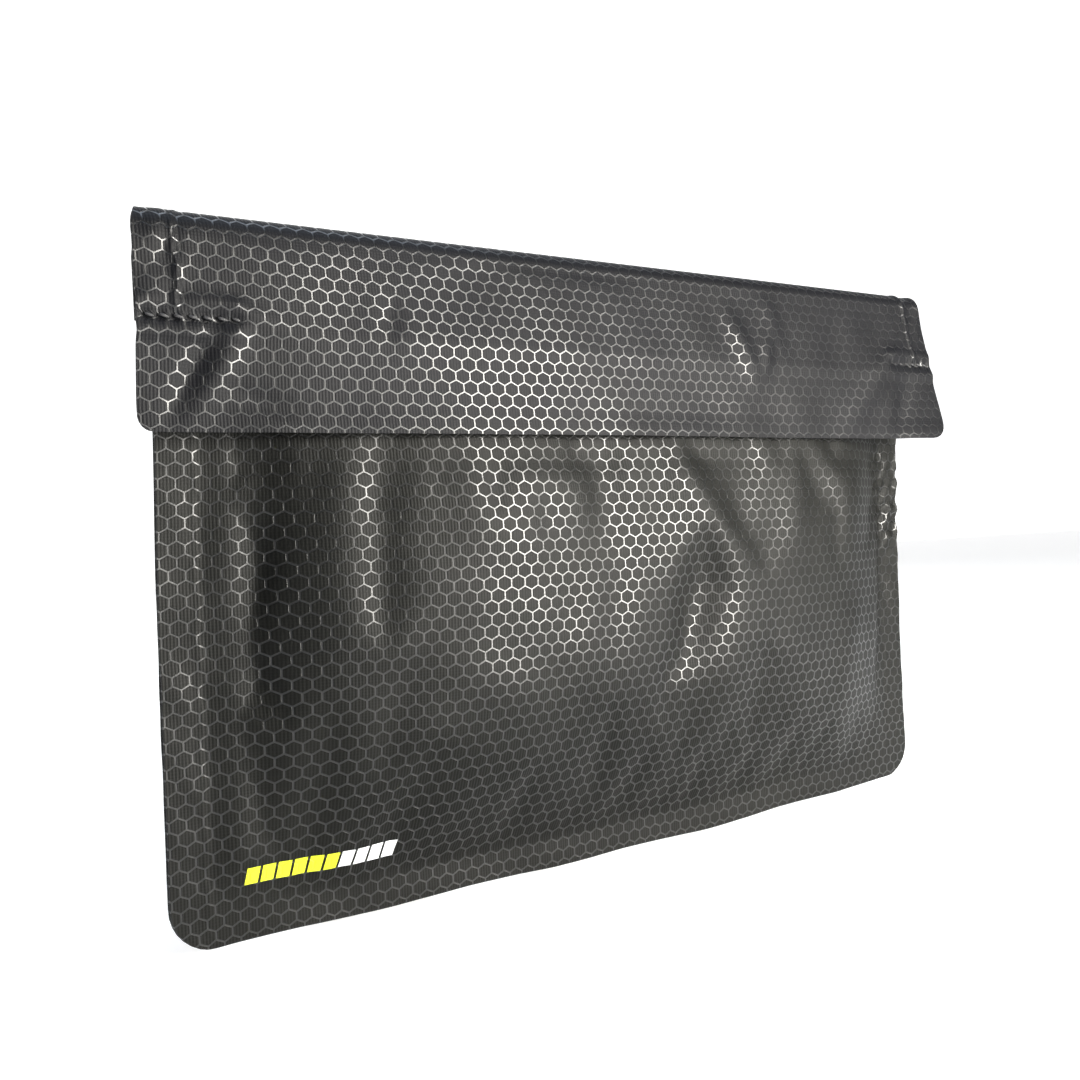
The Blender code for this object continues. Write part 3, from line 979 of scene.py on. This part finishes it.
def add_closure_loops():
    x, z = np.meshgrid(spread(-LOOP_REACH, 180, LOOP_REACH), spread(0.1275, 22, 0.1455))
    outer = front_surface(x, z)
    out = normals(outer)
    fuzz = 0.00015 * ripple(x, z, 0.0021, 81, 16)
    points = outer + out * (STRIP + 0.0001 + fuzz)[..., None]
    tape = add_sheet("closure_loops", points, flat_uv(x, z), STRIP, (LOOPS,))
    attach(tape, "pouch")
    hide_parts("closure_loop_strip")


def add_tacks():
    """Short bars of thread at the mouth's ends, along the mouth line."""
    for side, sign in (("left", -1), ("right", 1)):
        corners = []
        faces = []
        for number in range(7):
            middle = sign * (0.1252 + 0.0036 * number)
            x, around = np.meshgrid(spread(-0.0011, 6, 0.0011), spread(0.0, 8, math.tau))
            body = 0.00032 * np.sqrt(np.clip(1.0 - (x / 0.00118) ** 2, 0.05, 1.0))
            along = NECK_LENGTH - 0.0012 + body * np.cos(around) * 1.5
            tilt = 0.25 * x
            place = layer_place(x + middle, along + tilt, FOLD_RADIUS - 0.0001 + body * np.sin(around))
            place = twisted(place)
            first = len(corners)
            corners += place.reshape(-1, 3).tolist()
            rows, columns = x.shape
            for row in range(rows - 1):
                for column in range(columns - 1):
                    low = first + row * columns + column
                    faces.append((low, low + columns, low + columns + 1, low + 1))
        mesh = bpy.data.meshes.new(f"tacks_{side}")
        mesh.from_pydata(corners, [], faces)
        mesh.shade_smooth()
        tacks = add_object(f"tacks_{side}", mesh, THREAD)
        weld = tacks.modifiers.new("weld", "WELD")
        weld.merge_threshold = 0.00001
        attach(tacks, "neck")
        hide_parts(f"mouth_tack_{side}")


def add_mark():
    """A plain two-tone row of slanted blocks, printed by the lower left corner."""
    start, pitch, wide, low, tall = -0.1302, 0.0045, 0.0037, 0.0142, 0.0042
    for number in range(10):
        material = LIME if number < 6 else WHITE
        across, up = np.meshgrid(np.linspace(0.0, wide, 7), np.linspace(0.0, tall, 7))
        x = start + number * pitch + across + up * 0.18
        z = low + up
        outer = front_surface(x, z)
        points = outer + normals(outer) * 0.00009
        block = add_sheet(f"print_{number}", points, flat_uv(x, z), 0.00006, (material,))
        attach(block, "pouch")


# ---------------------------------------------------------------- studio


def add_floor():
    """A pale floor, and a paler backdrop that rises out of it behind."""
    x, run = np.meshgrid(np.linspace(-14.0, 14.0, 29), np.linspace(-6.0, 2.0, 17))
    points = np.stack([x, run, np.full(x.shape, -0.0002)], axis=-1)
    material = floor_material("pale_floor", 0.36)
    floor = add_object("floor", grid_mesh("floor", points, flat_uv(x, run)), material)
    x, run = np.meshgrid(np.linspace(-14.0, 14.0, 29), np.linspace(0.0, 9.0, 91))
    turn = np.clip(run / 1.2, 0.0, math.pi / 2)
    y = 2.0 + 1.2 * np.sin(turn)
    z = 1.2 * (1.0 - np.cos(turn)) + np.maximum(run - 0.6 * math.pi, 0.0) - 0.0002
    points = np.stack([x, y, z], axis=-1)
    material = floor_material("pale_backdrop", 0.85)
    backdrop = add_object("backdrop", grid_mesh("backdrop", points, flat_uv(x, run)), material)


def add_light(name, place, aim, size, power, colour):
    data = bpy.data.lights.new(name, "AREA")
    data.shape = "RECTANGLE"
    data.size, data.size_y = size
    data.energy = power
    data.color = colour
    lamp = bpy.data.objects.new(name, data)
    bpy.context.scene.collection.objects.link(lamp)
    lamp.location = place
    lamp.rotation_euler = (Vector(aim) - Vector(place)).to_track_quat("-Z", "Y").to_euler()


def add_studio():
    world = bpy.data.worlds.new("studio")
    world.use_nodes = True
    background = world.node_tree.nodes["Background"]
    background.inputs[0].default_value = (0.95, 0.97, 1.0, 1.0)
    background.inputs[1].default_value = 0.22
    scene = bpy.context.scene
    scene.world = world
    scene.view_settings.view_transform = "Standard"
    aim = (-0.03, -0.01, 0.10)
    add_light("strip", (0.30, -0.50, 0.12), aim, (0.15, 0.65), 18.0, (1.0, 0.97, 0.90))
    add_light("fill", (0.22, -1.05, 0.25), aim, (0.40, 0.50), 1.0, (1.0, 0.98, 0.94))
    add_light("top", (0.10, -0.15, 0.95), (0.0, 0.0, 0.16), (0.8, 0.4), 4.0, (0.74, 0.85, 1.0))
    add_light("front", (-0.9, -1.2, 0.7), aim, (0.9, 0.9), 1.5, (1.0, 0.98, 0.94))
    add_light("rear", (0.6, 1.3, 0.9), (0.0, 0.0, 0.09), (1.2, 1.0), 8.0, (0.95, 0.97, 1.0))


def add_camera():
    """Looks from the front left, just above level, turned a little about its own axis."""
    azimuth = math.radians(-39.59)
    elevation = math.radians(1.01)
    roll = math.radians(-2.005)
    back = Vector(
        (
            math.sin(azimuth) * math.cos(elevation),
            -math.cos(azimuth) * math.cos(elevation),
            math.sin(elevation),
        )
    )
    right = (-back).cross(Vector((0.0, 0.0, 1.0))).normalized()
    up = back.cross(right)
    across = right * math.cos(roll) + up * math.sin(roll)
    above = up * math.cos(roll) - right * math.sin(roll)
    data = bpy.data.cameras.new("camera")
    data.sensor_width = 36.0
    data.lens = 46.67
    data.clip_start = 0.01
    camera = bpy.data.objects.new("camera", data)
    bpy.context.scene.collection.objects.link(camera)
    turn = Matrix((across, above, back)).transposed().to_4x4()
    camera.matrix_world = Matrix.Translation(Vector((-0.0268, 0.0, 0.0972)) + back * 0.4143) @ turn
    bpy.context.scene.camera = camera


add_camera()
add_back()
add_front()
add_lining("front_lining", front_surface, 0.0011, "front_liner", True)
add_lining("back_lining", back_surface, 0.0008, "back_liner", False)
add_fold_bands()
add_lip()
add_neck_layers()
add_flap()
add_closure_loops()
add_tacks()
add_mark()
add_floor()
add_studio()

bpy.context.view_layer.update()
